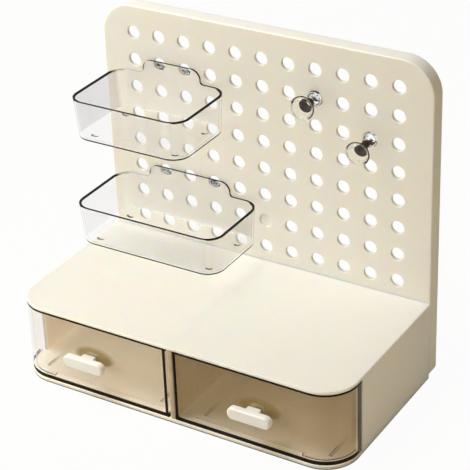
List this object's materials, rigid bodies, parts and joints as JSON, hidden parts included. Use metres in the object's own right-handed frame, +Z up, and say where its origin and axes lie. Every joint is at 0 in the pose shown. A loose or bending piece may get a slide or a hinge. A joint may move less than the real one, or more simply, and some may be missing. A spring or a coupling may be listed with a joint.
{
  "type": "pegboard desk organizer with drawers",
  "caption": "Desktop organizer: an upright pegboard with hanging clear baskets and peg knobs, behind a low cabinet with clear sliding drawers.",
  "frame": {"origin": "on the table, under the middle of the bounding box", "axes": "+X to the right hand seen from the front, +Y from the drawers to the pegboard, +Z up"},
  "size_m": [0.32, 0.187, 0.295],
  "materials": {
    "cream_plastic": "fine satin moulding",
    "handle_plastic": "satin",
    "clear_plastic": "clear polished, faint smoke tint",
    "screw_steel": "zinc plated",
    "foot_rubber": "matte"
  },
  "bodies": {
    "stand": {"pegboard": "cream_plastic", "cabinet_shell": "cream_plastic", "centre_partition": "cream_plastic", "base_plate": "cream_plastic", "feet": "foot_rubber", "board_screws": "screw_steel", "base_screws": "screw_steel"},
    "left_drawer": {"drawer_left": "clear_plastic", "handle_left": "handle_plastic", "handle_clip_left": "handle_plastic"},
    "right_drawer": {"drawer_right": "clear_plastic", "handle_right": "handle_plastic", "handle_clip_right": "handle_plastic"},
    "small_basket": {"basket_small": "clear_plastic"},
    "large_basket": {"basket_large": "clear_plastic"},
    "upper_hook": {"peg_hook_upper": "clear_plastic"},
    "lower_hook": {"peg_hook_lower": "clear_plastic"}
  },
  "joints": [
    {"name": "left_drawer_slide", "type": "slide", "parent": "stand", "child": "left_drawer", "axis": [0, -1, 0], "range_m": [0, 0.1]},
    {"name": "right_drawer_slide", "type": "slide", "parent": "stand", "child": "right_drawer", "axis": [0, -1, 0], "range_m": [0, 0.1]},
    {"name": "small_basket_lift", "type": "slide", "parent": "stand", "child": "small_basket", "axis": [0, -0.7071, 0.7071], "range_m": [0, 0.03]},
    {"name": "large_basket_lift", "type": "slide", "parent": "stand", "child": "large_basket", "axis": [0, -0.7071, 0.7071], "range_m": [0, 0.03]},
    {"name": "upper_hook_pull", "type": "slide", "parent": "stand", "child": "upper_hook", "axis": [0, -1, 0], "range_m": [0, 0.02]},
    {"name": "lower_hook_pull", "type": "slide", "parent": "stand", "child": "lower_hook", "axis": [0, -0.9877, -0.1564], "range_m": [0, 0.02]}
  ]
}
